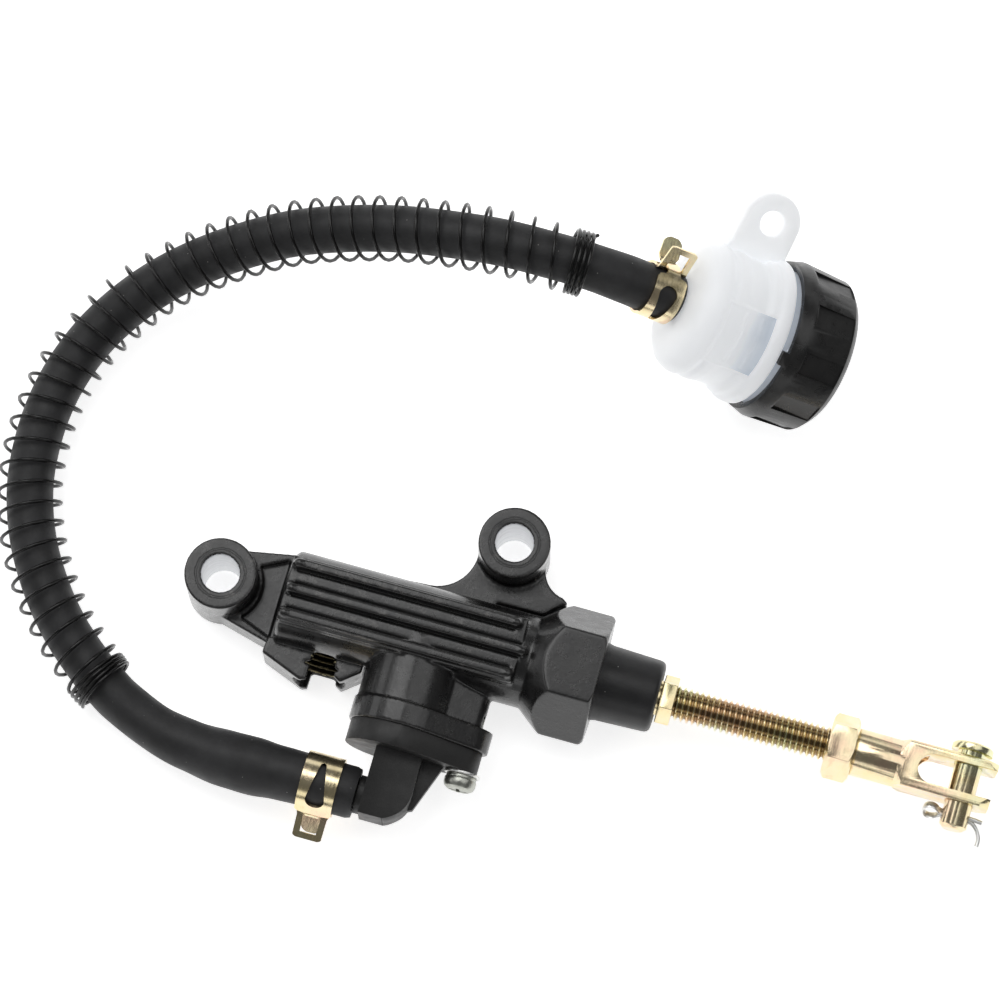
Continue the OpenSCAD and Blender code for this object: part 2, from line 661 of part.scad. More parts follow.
body_casting();
piston();
primary_cup_seal();
secondary_cup_seal();
return_spring();
spring_seat();
stop_washer();
circlip();
dust_boot();
push_rod();
lock_nut();
clevis();
clevis_pin();
split_pin();
inlet_elbow();
elbow_o_ring();
elbow_screw();
elbow_spring_washer();
elbow_flat_washer();
supply_hose();
hose_guard_spring();
lower_hose_clamp();
upper_hose_clamp();
reservoir_base();
reservoir_bottle();
reservoir_tab();
reservoir_cap();
reservoir_diaphragm();
diaphragm_plate();
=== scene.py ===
import math

import bmesh
import bpy
from mathutils import Matrix, Vector, noise


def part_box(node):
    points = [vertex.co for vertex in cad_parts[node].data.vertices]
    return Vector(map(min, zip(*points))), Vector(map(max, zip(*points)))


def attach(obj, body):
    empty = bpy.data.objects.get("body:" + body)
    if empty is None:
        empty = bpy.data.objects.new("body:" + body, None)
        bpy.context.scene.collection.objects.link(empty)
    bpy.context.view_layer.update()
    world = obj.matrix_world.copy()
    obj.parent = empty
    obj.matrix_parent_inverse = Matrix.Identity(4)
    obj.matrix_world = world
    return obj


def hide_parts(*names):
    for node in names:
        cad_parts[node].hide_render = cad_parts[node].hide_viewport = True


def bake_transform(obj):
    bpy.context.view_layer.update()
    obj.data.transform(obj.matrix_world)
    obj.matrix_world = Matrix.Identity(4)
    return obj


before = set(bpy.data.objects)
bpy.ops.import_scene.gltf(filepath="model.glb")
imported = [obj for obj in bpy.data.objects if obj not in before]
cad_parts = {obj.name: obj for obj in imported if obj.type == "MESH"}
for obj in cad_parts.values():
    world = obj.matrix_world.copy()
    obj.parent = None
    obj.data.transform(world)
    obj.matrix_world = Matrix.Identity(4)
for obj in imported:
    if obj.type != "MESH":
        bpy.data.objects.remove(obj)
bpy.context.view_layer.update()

MM = 0.001
TAU = 2 * math.pi


# ---------------------------------------------------------------- camera

def make_camera():
    """Looks down on the part from in front and a little to the right."""
    back = Vector((0.05821, -0.20840, 0.97631)).normalized()
    right = Vector((0.963, 0.269, 0.0)).normalized()
    right = (right - back * right.dot(back)).normalized()
    up = back.cross(right)
    target = Vector((0.0413, 0.0279, 0.0))
    data = bpy.data.cameras.new("camera")
    data.lens = 198
    data.sensor_width = 36
    data.clip_start = 0.02
    data.clip_end = 20
    camera = bpy.data.objects.new("camera", data)
    bpy.context.scene.collection.objects.link(camera)
    turn = Matrix((right, up, back)).transposed().to_4x4()
    camera.matrix_world = Matrix.Translation(target + back * 0.947) @ turn
    bpy.context.scene.camera = camera


make_camera()


# ---------------------------------------------------------------- mesh helpers

def link(name, mesh):
    """A new object in the scene."""
    obj = bpy.data.objects.new(name, mesh)
    bpy.context.scene.collection.objects.link(obj)
    return obj


def mesh_of(name, points, faces):
    """A mesh from points in millimetres."""
    mesh = bpy.data.meshes.new(name)
    mesh.from_pydata([tuple(c * MM for c in p) for p in points], [], faces)
    bm = bmesh.new()
    bm.from_mesh(mesh)
    bmesh.ops.recalc_face_normals(bm, faces=bm.faces)
    bm.to_mesh(mesh)
    bm.free()
    return mesh


def shade(obj, angle):
    """Smooth shading, with edges sharper than angle degrees kept sharp."""
    mesh = obj.data
    mesh.polygons.foreach_set("use_smooth", [True] * len(mesh.polygons))
    mesh.set_sharp_from_angle(angle=math.radians(angle))
    mesh.update()


def applied(obj):
    """Applies the object's modifiers to its mesh."""
    graph = bpy.context.evaluated_depsgraph_get()
    graph.update()
    mesh = bpy.data.meshes.new_from_object(obj.evaluated_get(graph))
    old = obj.data
    obj.modifiers.clear()
    obj.data = mesh
    if old.users == 0:
        bpy.data.meshes.remove(old)


def bevelled(obj, width, segments=2, angle=30):
    """Rounds the sharp edges, width in millimetres, and keeps the flats flat."""
    m = obj.modifiers.new("bevel", "BEVEL")
    m.width = width * MM
    m.segments = segments
    m.limit_method = "ANGLE"
    m.angle_limit = math.radians(angle)
    m.use_clamp_overlap = True
    m.harden_normals = True
    obj.data.polygons.foreach_set("use_smooth", [True] * len(obj.data.polygons))
    applied(obj)
    return obj


def cad_copy(node, name):
    """A clean copy of a CAD node's mesh: welded, and one face for each flat."""
    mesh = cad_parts[node].data.copy()
    mesh.materials.clear()
    bm = bmesh.new()
    bm.from_mesh(mesh)
    bmesh.ops.remove_doubles(bm, verts=bm.verts, dist=2e-6)
    bmesh.ops.dissolve_limit(
        bm, angle_limit=math.radians(0.5), verts=bm.verts, edges=bm.edges)
    bmesh.ops.recalc_face_normals(bm, faces=bm.faces)
    bm.to_mesh(mesh)
    bm.free()
    mesh.name = name
    return link(name, mesh)


def joined(name, objs):
    """One object from several."""
    bm = bmesh.new()
    for o in objs:
        mesh = o.data.copy()
        mesh.transform(o.matrix_world)
        bm.from_mesh(mesh)
        bpy.data.meshes.remove(mesh)
        bpy.data.objects.remove(o)
    mesh = bpy.data.meshes.new(name)
    bm.to_mesh(mesh)
    bm.free()
    return link(name, mesh)


def cut(obj, cutter):
    """Takes the cutter's solid away from the object."""
    m = obj.modifiers.new("cut", "BOOLEAN")
    m.operation = "DIFFERENCE"
    m.solver = "EXACT"
    m.object = cutter
    bpy.context.view_layer.update()
    applied(obj)
    bpy.data.objects.remove(cutter)


def lathe(name, profile, place, sides=96):
    """Turns a closed profile of (radius, height) points round place's Z axis."""
    points, rows = [], []
    for r, z in profile:
        if r < 1e-6:
            rows.append([len(points)] * sides)
            points.append(place @ Vector((0, 0, z)))
            continue
        rows.append(list(range(len(points), len(points) + sides)))
        for k in range(sides):
            a = TAU * k / sides
            points.append(place @ Vector((r * math.cos(a), r * math.sin(a), z)))
    faces = []
    for row, following in zip(rows, rows[1:] + rows[:1]):
        for k in range(sides):
            corner = [row[k], row[(k + 1) % sides],
                      following[(k + 1) % sides], following[k]]
            face = list(dict.fromkeys(corner))
            if len(face) > 2:
                faces.append(face)
    return link(name, mesh_of(name, points, faces))


def prism(name, outline, z0, z1, place):
    """An outline of (x, y) points raised from z0 to z1 in place's frame."""
    n = len(outline)
    points = [place @ Vector((x, y, z)) for z in (z0, z1) for x, y in outline]
    faces = [list(range(n))[::-1], list(range(n, 2 * n))]
    faces += [[k, (k + 1) % n, n + (k + 1) % n, n + k] for k in range(n)]
    return link(name, mesh_of(name, points, faces))


def arc(cx, cy, r, start, end):
    """Points on an arc, about six degrees apart. Its angles are in degrees."""
    n = max(2, int(abs(end - start) / 6))
    angles = [math.radians(start + (end - start) * k / n) for k in range(n + 1)]
    return [(cx + r * math.cos(a), cy + r * math.sin(a)) for a in angles]


def along(origin, direction):
    """A frame in millimetres at origin with its Z axis along direction."""
    z = Vector(direction).normalized()
    x = Vector((0, 0, 1)).cross(z)
    x = x.normalized() if x.length > 1e-6 else Vector((1, 0, 0))
    y = z.cross(x)
    return Matrix.Translation(Vector(origin)) @ Matrix((x, y, z)).transposed().to_4x4()


# turns a flat outline to stand across the X axis
STANDING = Matrix(((0, 0, 1, 0), (1, 0, 0, 0), (0, 1, 0, 0), (0, 0, 0, 1)))


def sweep_rings(path, radii, sides, flatness=1):
    """Rings of points round a path, carried along it without twisting. flatness is their
    thickness sideways for a thickness of one upwards."""
    rings = []
    tangent = (path[1] - path[0]).normalized()
    side = tangent.cross(Vector((0, 0, 1)))
    side = side.normalized() if side.length > 1e-4 else Vector((1, 0, 0))
    for i, p in enumerate(path):
        t = (path[min(i + 1, len(path) - 1)] - path[max(i - 1, 0)]).normalized()
        side = (side - t * side.dot(t)).normalized()
        top = t.cross(side)
        rings.append([
            p + radii[i] * (flatness * math.cos(TAU * k / sides) * side
                            + math.sin(TAU * k / sides) * top)
            for k in range(sides)])
    return rings


def loft(name, rings, closed=False):
    """Skins rings of equal length, with flat ends unless it closes on itself."""
    sides = len(rings[0])
    points = [p for ring in rings for p in ring]
    faces = []
    last = len(rings) if closed else len(rings) - 1
    for i in range(last):
        a, b = i * sides, (i + 1) % len(rings) * sides
        for k in range(sides):
            faces.append([a + k, a + (k + 1) % sides, b + (k + 1) % sides, b + k])
    if not closed:
        faces.append(list(range(sides))[::-1])
        faces.append([(len(rings) - 1) * sides + k for k in range(sides)])
    return link(name, mesh_of(name, points, faces))


def smooth_path(points, spacing):
    """Points on a smooth curve through the given ones, about spacing apart, and each one's
    distance along the curve."""
    p = [Vector(q) for q in points]
    p = [p[0] * 2 - p[1]] + p + [p[-1] * 2 - p[-2]]
    dense = []
    for a, b, c, d in zip(p, p[1:], p[2:], p[3:]):
        cuts = 24
        for k in range(cuts):
            t = k / cuts
            dense.append(0.5 * ((2 * b) + (c - a) * t + (2 * a - 5 * b + 4 * c - d) * t * t
                                + (3 * b - a - 3 * c + d) * t ** 3))
    dense.append(p[-2].copy())
    lengths = [0.0]
    for a, b in zip(dense, dense[1:]):
        lengths.append(lengths[-1] + (b - a).length)
    n = max(2, round(lengths[-1] / spacing))
    out, stations, j = [], [], 0
    for k in range(n + 1):
        s = lengths[-1] * k / n
        while j < len(lengths) - 2 and lengths[j + 1] < s:
            j += 1
        t = (s - lengths[j]) / max(1e-9, lengths[j + 1] - lengths[j])
        out.append(dense[j].lerp(dense[j + 1], min(1, t)))
        stations.append(s)
    return out, stations


def table_value(table, x):
    """Reads a smooth value from (x, value) rows."""
    if x <= table[0][0]:
        return table[0][1]
    for (x0, v0), (x1, v1) in zip(table, table[1:]):
        if x <= x1:
            t = (x - x0) / (x1 - x0)
            return v0 + (v1 - v0) * t * t * (3 - 2 * t)
    return table[-1][1]


# ---------------------------------------------------------------- materials

class Nodes:
    """Builds a material from its nodes."""

    def __init__(self, name, **sockets):
        self.material = bpy.data.materials.new(name)
        self.material.use_nodes = True
        self.tree = self.material.node_tree
        self.shader = self.tree.nodes["Principled BSDF"]
        for key, value in sockets.items():
            self.shader.inputs[key.replace("_", " ")].default_value = value
        self.place = self.tree.nodes.new("ShaderNodeTexCoord").outputs["Object"]

    def node(self, kind, inputs=None, **settings):
        n = self.tree.nodes.new("ShaderNode" + kind)
        for key, value in settings.items():
            setattr(n, key, value)
        for key, value in (inputs or {}).items():
            self.put(value, n.inputs[key])
        return n

    def put(self, value, socket):
        if isinstance(value, bpy.types.NodeSocket):
            self.tree.links.new(value, socket)
        else:
            socket.default_value = value

    def noise(self, scale, detail=4, rough=0.55, stretch=None):
        place = self.place
        if stretch:
            place = self.node("Mapping", {"Vector": place, "Scale": stretch}).outputs[0]
        n = self.node("TexNoise", {"Vector": place, "Scale": scale, "Detail": detail,
                                   "Roughness": rough})
        return n.outputs["Fac"]

    def ramp(self, value, *stops):
        n = self.node("ValToRGB", {"Fac": value})
        elements = n.color_ramp.elements
        while len(elements) < len(stops):
            elements.new(0.5)
        for e, (at, colour) in zip(elements, stops):
            e.position = at
            e.color = (*colour, 1)
        return n.outputs["Color"]

    def remap(self, value, low, high, to_low=0.0, to_high=1.0):
        n = self.node("MapRange", {"Value": value, "From Min": low, "From Max": high,
                                   "To Min": to_low, "To Max": to_high}, clamp=True)
        return n.outputs["Result"]

    def math(self, operation, a, b=0.0):
        return self.node("Math", {0: a, 1: b}, operation=operation).outputs[0]

    def reach(self, a, b):
        """The length of a step of a and b at right angles."""
        return self.math("SQRT", self.math("ADD", self.math("MULTIPLY", a, a),
                                           self.math("MULTIPLY", b, b)))

    def mix(self, factor, a, b):
        n = self.node("Mix", data_type="RGBA")
        self.put(factor, n.inputs["Factor"])
        self.put(a, n.inputs[6])
        self.put(b, n.inputs[7])
        return n.outputs[2]

    def bump(self, height, distance, strength=1.0, under=None):
        inputs = {"Height": height, "Distance": distance, "Strength": strength}
        if under is not None:
            inputs["Normal"] = under
        return self.node("Bump", inputs).outputs["Normal"]

    def set(self, **values):
        for key, value in values.items():
            self.put(value, self.shader.inputs[key.replace("_", " ")])
        return self.material


BOSSES = ((0.0, 0.0), (46.5, 18.45))  # the mounting holes' places
AXIS_Z = 10  # the bore's height over the mounting face


def make_paint():
    """Semi-gloss black paint over a fine cast skin, with a painted highlight on the convex edges,
    and a turned ring round each mounting hole."""
    m = Nodes("black paint", Metallic=0.0, Coat_Weight=0.45, Coat_Roughness=0.14)
    skin = m.noise(1500, 5, 0.6)
    pits = m.noise(420, 3, 0.5)
    place = m.node("SeparateXYZ", {0: m.place})
    ragged = m.math("MULTIPLY", m.math("SUBTRACT", m.noise(900, 4, 0.6), 0.5), 0.0006)
    ring_r, boss_top = 0.0042, 0.0134
    rings = None
    for x, y in BOSSES:
        reach = m.reach(m.math("SUBTRACT", place.outputs["X"], x * MM),
                        m.math("SUBTRACT", place.outputs["Y"], y * MM))
        off = m.math("ABSOLUTE", m.math("SUBTRACT", m.math("ADD", reach, ragged), ring_r))
        ring = m.remap(off, 0.00007, 0.00026, 1.0, 0.0)
        rings = ring if rings is None else m.math("MAXIMUM", rings, ring)
    top = m.remap(place.outputs["Z"], boss_top, 0.0137)
    rings = m.math("MULTIPLY", rings, top)
    sand = m.bump(skin, 0.00010, 0.55)
    sand = m.bump(m.math("SUBTRACT", 1.0, rings), 0.00022, 0.9, sand)
    normal = m.bump(pits, 0.00016, 0.35, sand)
    tone = m.ramp(m.noise(260, 4), (0.3, (0.006, 0.006, 0.0065)), (0.7, (0.013, 0.0125, 0.012)))
    tone = m.mix(m.math("MULTIPLY", rings, 0.8), tone, (0.001, 0.001, 0.001, 1))
    bend = m.node("NewGeometry").outputs["Pointiness"]
    # painted highlight: convex edges lightened towards grey, broken up by noise
    edge_highlight = m.math("MULTIPLY", m.remap(bend, 0.515, 0.60), m.remap(m.noise(1300, 4), 0.40, 0.62))
    tone = m.mix(m.math("MULTIPLY", edge_highlight, 0.75), tone, (0.105, 0.10, 0.095, 1))
    rough = m.remap(m.noise(500, 4), 0.35, 0.65, 0.24, 0.36)
    return m.set(Base_Color=tone, Roughness=rough, Normal=normal)


def make_bare():
    """Drilled aluminium with ring marks from the drill."""
    m = Nodes("drilled metal", Metallic=1.0)
    rings = m.noise(900, 3, 0.5, (0.25, 0.25, 3.0))
    tone = m.ramp(rings, (0.3, (0.62, 0.63, 0.65)), (0.7, (0.88, 0.89, 0.9)))
    rough = m.remap(rings, 0.3, 0.7, 0.28, 0.5)
    return m.set(Base_Color=tone, Roughness=rough, Normal=m.bump(rings, 0.0001, 0.6))


def make_tapped():
    """The tapped outlet: painted shade in the grooves and painted brassy glints on the crests."""
    m = Nodes("tapped metal with painted shade and glints", Metallic=1.0)
    pitch = 0.001
    y = m.node("SeparateXYZ", {0: m.place}).outputs["Y"]
    wave = m.math("SINE", m.math("MULTIPLY", y, TAU / pitch))
    wave = m.math("ADD", wave, m.remap(m.noise(900, 3), 0.3, 0.7, -0.3, 0.3))
    # painted glints lighten the crests to brass, and painted shade darkens the grooves
    crest = m.remap(wave, 0.1, 0.9)
    tone = m.ramp(crest, (0.0, (0.012, 0.011, 0.009)), (1.0, (0.36, 0.32, 0.20)))
    rough = m.remap(m.noise(700, 3), 0.3, 0.7, 0.32, 0.5)
    return m.set(Base_Color=tone, Roughness=rough, Normal=m.bump(crest, 0.0002, 0.8))


def make_rubber(name, dark, light, specks=0.0, rough=(0.48, 0.62)):
    """Matt black rubber with faint bloom and dust."""
    m = Nodes(name, Specular_IOR_Level=0.45)
    bloom = m.ramp(m.noise(180, 5, 0.6), (0.35, (dark, dark, dark * 1.04)),
                   (0.7, (light, light, light * 1.05)))
    dust = m.node("TexVoronoi", {"Vector": m.place, "Scale": 520.0}).outputs["Distance"]
    dots = m.remap(dust, 0.035, 0.06, specks, 0.0)
    colour = m.mix(dots, bloom, (0.35, 0.34, 0.32, 1))
    grain = m.noise(2600, 3, 0.6)
    roughness = m.remap(m.noise(300, 4), 0.35, 0.65, *rough)
    return m.set(Base_Color=colour, Roughness=roughness, Normal=m.bump(grain, 0.00005, 0.45))


def make_plastic(name, dark, light, rough, grain=0.4):
    """Moulded plastic with a faint grain."""
    m = Nodes(name, Specular_IOR_Level=0.5)
    tone = m.ramp(m.noise(220, 4), (0.35, (dark, dark, dark)),
                  (0.7, (light, light * 0.98, light * 0.95)))
    fine = m.noise(2300, 4, 0.6)
    roughness = m.remap(m.noise(420, 3), 0.35, 0.65, *rough)
    return m.set(Base_Color=tone, Roughness=roughness, Normal=m.bump(fine, 0.00006, grain))


def make_yellow_zinc(name, thread=False):
    """Yellow passivated zinc: pale gold with pink and green casts and faint turning marks. A
    thread's roots get painted shade, darker than its crests."""
    m = Nodes(name, Metallic=1.0)
    cast = m.noise(95, 3, 0.5)
    colour = m.ramp(cast, (0.30, (0.78, 0.77, 0.50)), (0.42, (0.84, 0.71, 0.42)),
                    (0.50, (0.88, 0.76, 0.50)), (0.60, (0.88, 0.66, 0.46)),
                    (0.72, (0.76, 0.75, 0.52)))
    stain = m.remap(m.noise(500, 4, 0.6), 0.54, 0.74, 0.0, 0.3)
    colour = m.mix(stain, colour, (0.42, 0.29, 0.13, 1))
    if thread:
        place = m.node("SeparateXYZ", {0: m.place})
        up = m.math("SUBTRACT", place.outputs["Z"], AXIS_Z * MM)
        root_r, crest_r = 0.00242, 0.00288
        # painted shade: the thread's roots darkened towards brown
        root = m.remap(m.reach(up, place.outputs["Y"]), root_r, crest_r, 0.85, 0.0)
        colour = m.mix(root, colour, (0.16, 0.085, 0.03, 1))
    marks = m.noise(1400, 3, 0.5, (3.0, 0.5, 0.5))
    rough = m.remap(marks, 0.3, 0.7, 0.15, 0.27)
    return m.set(Base_Color=colour, Roughness=rough, Normal=m.bump(marks, 0.00003, 0.2))


def make_metal(name, colour, rough):
    """Plain metal with a fine grain."""
    m = Nodes(name, Metallic=1.0)
    grain = m.noise(1100, 4, 0.55)
    tone = m.ramp(grain, (0.3, tuple(c * 0.82 for c in colour)), (0.7, colour))
    return m.set(Base_Color=tone, Roughness=m.remap(grain, 0.3, 0.7, *rough),
                 Normal=m.bump(grain, 0.00004, 0.3))


def make_wire():
    """Glossy black wire."""
    m = Nodes("black wire", Specular_IOR_Level=0.4)
    tone = m.ramp(m.noise(500, 3), (0.3, (0.003, 0.003, 0.003)), (0.7, (0.008, 0.0075, 0.007)))
    rough = m.remap(m.noise(900, 4), 0.3, 0.7, 0.14, 0.24)
    return m.set(Base_Color=tone, Roughness=rough, Normal=m.bump(m.noise(1800, 3), 0.00003, 0.2))


# the reservoir's frame: Z runs along its axis from the hose's end down towards the cap
TILT = math.radians(26)
RESERVOIR = Matrix.Translation((62, 64, 25)) @ Matrix.Rotation(math.pi / 2 + TILT, 4, "Y")


def milky_nodes(name):
    """Milky polythene. Its faint glow stands for the light that shines through the wall."""
    return Nodes(name, Transmission_Weight=0.15, IOR=1.45, Subsurface_Weight=0.8,
                 Subsurface_Scale=0.004, Subsurface_Radius=(1.0, 1.0, 1.0),
                 Emission_Color=(0.95, 0.97, 1.0, 1), Emission_Strength=0.17)


def make_milky():
    """The bottle's wall, slightly cloudy."""
    m = milky_nodes("milky plastic")
    cloud = m.noise(120, 4)
    tone = m.ramp(cloud, (0.3, (0.93, 0.945, 0.96)), (0.7, (0.97, 0.975, 0.98)))
    rough = m.remap(m.noise(350, 4), 0.35, 0.65, 0.34, 0.46)
    return m.set(Base_Color=tone, Roughness=rough, Normal=m.bump(m.noise(700, 3), 0.00006, 0.25))


def make_thin():
    """The bottle's thinner places, with painted shade darker towards the cap, where the dark inside
    shows through.
    """
    m = milky_nodes("thin milky plastic with painted shade")
    origin = tuple(-c * MM for c in RESERVOIR.translation)
    towards_cap = m.node("Mapping", {"Vector": m.place, "Location": origin})
    axis = RESERVOIR.to_3x3() @ Vector((0, 0, 1))
    reach = m.node("VectorMath", {0: towards_cap.outputs[0], 1: tuple(axis)},
                   operation="DOT_PRODUCT").outputs["Value"]
    uneven = m.remap(m.noise(90, 3), 0.3, 0.7, -0.1, 0.1)
    panel_start, panel_end = 0.0045, 0.0140
    # painted shade: darker towards the cap, for the dark inside seen through the wall
    cap_shade = m.math("ADD", m.remap(reach, panel_start, panel_end), uneven)
    tone = m.ramp(cap_shade, (0.0, (0.95, 0.96, 0.97)), (0.45, (0.94, 0.955, 0.97)),
                  (0.95, (0.42, 0.48, 0.56)))
    rough = m.remap(m.noise(350, 4), 0.35, 0.65, 0.30, 0.42)
    return m.set(Base_Color=tone, Roughness=rough, Normal=m.bump(m.noise(700, 3), 0.00006, 0.25))


PAINT = make_paint()
BARE = make_bare()
TAPPED = make_tapped()
HOSE = make_rubber("hose rubber", 0.015, 0.028, 0.6)
BOOT = make_rubber("boot rubber", 0.011, 0.019, 0.8, (0.36, 0.48))
SEAL = make_rubber("seal rubber", 0.010, 0.016)
WIRE = make_wire()
ZINC = make_yellow_zinc("yellow zinc")
THREAD_ZINC = make_yellow_zinc("yellow zinc thread with painted root shade", True)
BRIGHT = make_metal("bright zinc", (0.84, 0.84, 0.82), (0.26, 0.42))
DULL = make_metal("dull zinc", (0.52, 0.53, 0.48), (0.3, 0.44))
STEEL = make_metal("spring steel", (0.50, 0.50, 0.51), (0.25, 0.38))
PLATE = make_metal("plated steel", (0.72, 0.68, 0.50), (0.25, 0.4))
ALLOY = make_metal("turned alloy", (0.82, 0.83, 0.84), (0.22, 0.34))
NYLON = make_plastic("black nylon", 0.014, 0.022, (0.42, 0.55))
CAP = make_plastic("cap plastic", 0.012, 0.020, (0.26, 0.36), 0.25)
MILKY = make_milky()
THIN = make_thin()
WHITE = make_plastic("white plastic", 0.70, 0.78, (0.35, 0.45))


def finish_piece(obj, material, body, slot, *nodes, angle=None):
    """Paints a piece, seats it on its body and lets it stand for its CAD nodes."""
    obj.data.materials.clear()
    obj.data.materials.append(material)
    if angle is not None:
        shade(obj, angle)
    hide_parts(*nodes)
    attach(obj, body)
    return obj


# ---------------------------------------------------------------- hose

# the hose's middle line, from the elbow's spigot to the bottle's neck
ROUTE = [Vector(p) * MM for p in (
    (32.2, -29.5, 10), (27, -29.5, 10), (21, -29.5, 9.9), (13, -29.5, 8.9),
    (5, -29, 7.2), (-3, -27.5, 6.2), (-10.5, -24.5, 5.8), (-14, -22.5, 5.8),
    (-17, -20.5, 5.8), (-23.5, -15, 5.8), (-29, -8.5, 5.8), (-33.5, -1, 5.8),
    (-36.5, 7.5, 5.8), (-37.5, 16, 5.8), (-37, 24, 5.9), (-35, 31.5, 6.5),
    (-31.5, 38.5, 7.8), (-26, 45.5, 9.9), (-19.5, 51, 12.7), (-12, 55.5, 16),
    (-4, 59, 19.6), (4.5, 61.2, 23.3), (13.5, 62.7, 26.8), (22.5, 63.5, 29.5),
    (31.5, 64, 31.3), (40, 64, 31.8), (46.5, 64, 31.3), (53, 64, 29.4),
    (57.5, 64, 27.2), (62, 64, 25))]
GUARD_FIRST, GUARD_LAST = 7, 26  # the route's points between which the guard lies


def station_of(path, stations, point):
    """The distance along the path of its point nearest to the given one."""
    return min(zip(path, stations), key=lambda pair: (pair[0] - point).length)[1]


def make_hose():
    """Rubber hose, swollen where it's pushed over the spigot and the neck."""
    path, stations = smooth_path([p / MM for p in ROUTE], 0.8)
    total = stations[-1]
    sides, bore_r, chamfer = 40, 2.65, 0.25
    width = [(0, 4.45), (9, 4.5), (13.5, 4.6), (18, 4.95), (23, 4.85), (30, 4.35), (38, 4.0),
             (total - 16, 4.0), (total - 9, 4.15), (total, 4.25)]
    outer = [table_value(width, s) for s in stations]
    outer[0] -= chamfer
    outer[-1] -= chamfer
    rings = sweep_rings(path, outer, sides)
    inner = sweep_rings(path, [bore_r] * len(path), sides)
    hose = loft("supply_hose_rubber", rings + inner[::-1], closed=True)
    finish_piece(hose, HOSE, "cylinder_body", "hose_rubber", "supply_hose", angle=60)
    return hose, path, stations


def make_guard(path, stations):
    """Wire coil round the hose: open turns, with a few closed ones at each end."""
    start = station_of(path, stations, ROUTE[GUARD_FIRST] / MM)
    end = station_of(path, stations, ROUTE[GUARD_LAST] / MM)
    wire, coil, closed_pitch, closed_turns = 0.33, 5.37, 0.74, 4
    open_length = end - start - 2 * closed_turns * closed_pitch
    open_pitch = 3.75
    open_turns = round(open_length / open_pitch)
    turns = open_turns + 2 * closed_turns
    steps = 22

    def advance(t):
        """Distance along the hose after t turns."""
        if t <= closed_turns:
            return closed_pitch * t
        if t >= turns - closed_turns:
            return end - start - closed_pitch * (turns - t)
        u = (t - closed_turns) / open_turns
        return closed_pitch * closed_turns + open_length * u

    frames = []
    side = Vector((0, 0, 1)).cross(path[1] - path[0]).normalized()
    for i, p in enumerate(path):
        t = (path[min(i + 1, len(path) - 1)] - path[max(i - 1, 0)]).normalized()
        side = (side - t * side.dot(t)).normalized()
        frames.append((p, side.copy(), t.cross(side), t))
    gap = stations[1]
    line = []
    for k in range(turns * steps + 1):
        t = k / steps
        s = start + advance(t)
        j = min(len(frames) - 2, int(s / gap))
        f = s / gap - j
        p, side, top = (frames[j][n].lerp(frames[j + 1][n], f) for n in range(3))
        r = coil + 0.12 * noise.noise(Vector((t * 0.37, 0.3, 1.7)))
        phase = TAU * t
        line.append(p + r * (math.cos(phase) * side + math.sin(phase) * top))
    guard = loft("guard_coils", sweep_rings(line, [wire] * len(line), 8))
    return finish_piece(guard, WIRE, "cylinder_body", "black_wire", "hose_guard_spring", angle=60)


hose, hose_path, hose_stations = make_hose()
guard = make_guard(hose_path, hose_stations)


# ---------------------------------------------------------------- clamps

STRIP = 0.5  # thickness of a clamp's strip


def clamp_line(radius, gap):
    """The middle line of a clamp's strip: in along the wide ear, once round the hose, through
    the wide ear's window and out along the narrow ear. Angles run from the wide ear. Also the
    distance along it at each point, at the band's start and at the narrow ear's start."""
    wide, narrow, small = 5.1, 4.9, 5  # the ears' lengths, and the angle of a bend's end
    step = 0.25
    middle = radius + STRIP / 2

    def polar(r, a):
        return Vector((r * math.cos(math.radians(a)), r * math.sin(math.radians(a)), 0))

    def lifted(a):
        t = min(1, max(0, (a + 40) / 34))  # the tongue climbs over the band's first part
        return middle + 0.75 * t * t * (3 - 2 * t)

    def corner(p0, p1, p2):
        return [p0 * (1 - t) ** 2 + p1 * 2 * t * (1 - t) + p2 * t * t
                for t in (k / 6 for k in range(7))]

    line = [polar(radius + wide - k * step, 0) for k in range(int((wide - 0.9) / step))]
    line += corner(polar(radius + 0.9, 0), polar(middle, 0), polar(middle, small))
    wide_end = len(line)
    a = small + 2
    while a < 360 + gap - small:
        line.append(polar(lifted(a - 360), a))
        a += 2.0
    narrow_start = len(line)
    top, end = lifted(gap), 360 + gap
    line += corner(polar(top, end - small), polar(top, end), polar(top + 0.7, end))
    line += [polar(top + 0.7 + k * step, end) for k in range(1, int(narrow / step) - 3)]
    run = [0.0]
    for p, q in zip(line, line[1:]):
        run.append(run[-1] + (q - p).length)
    return line, run, run[wide_end - 1], run[narrow_start]


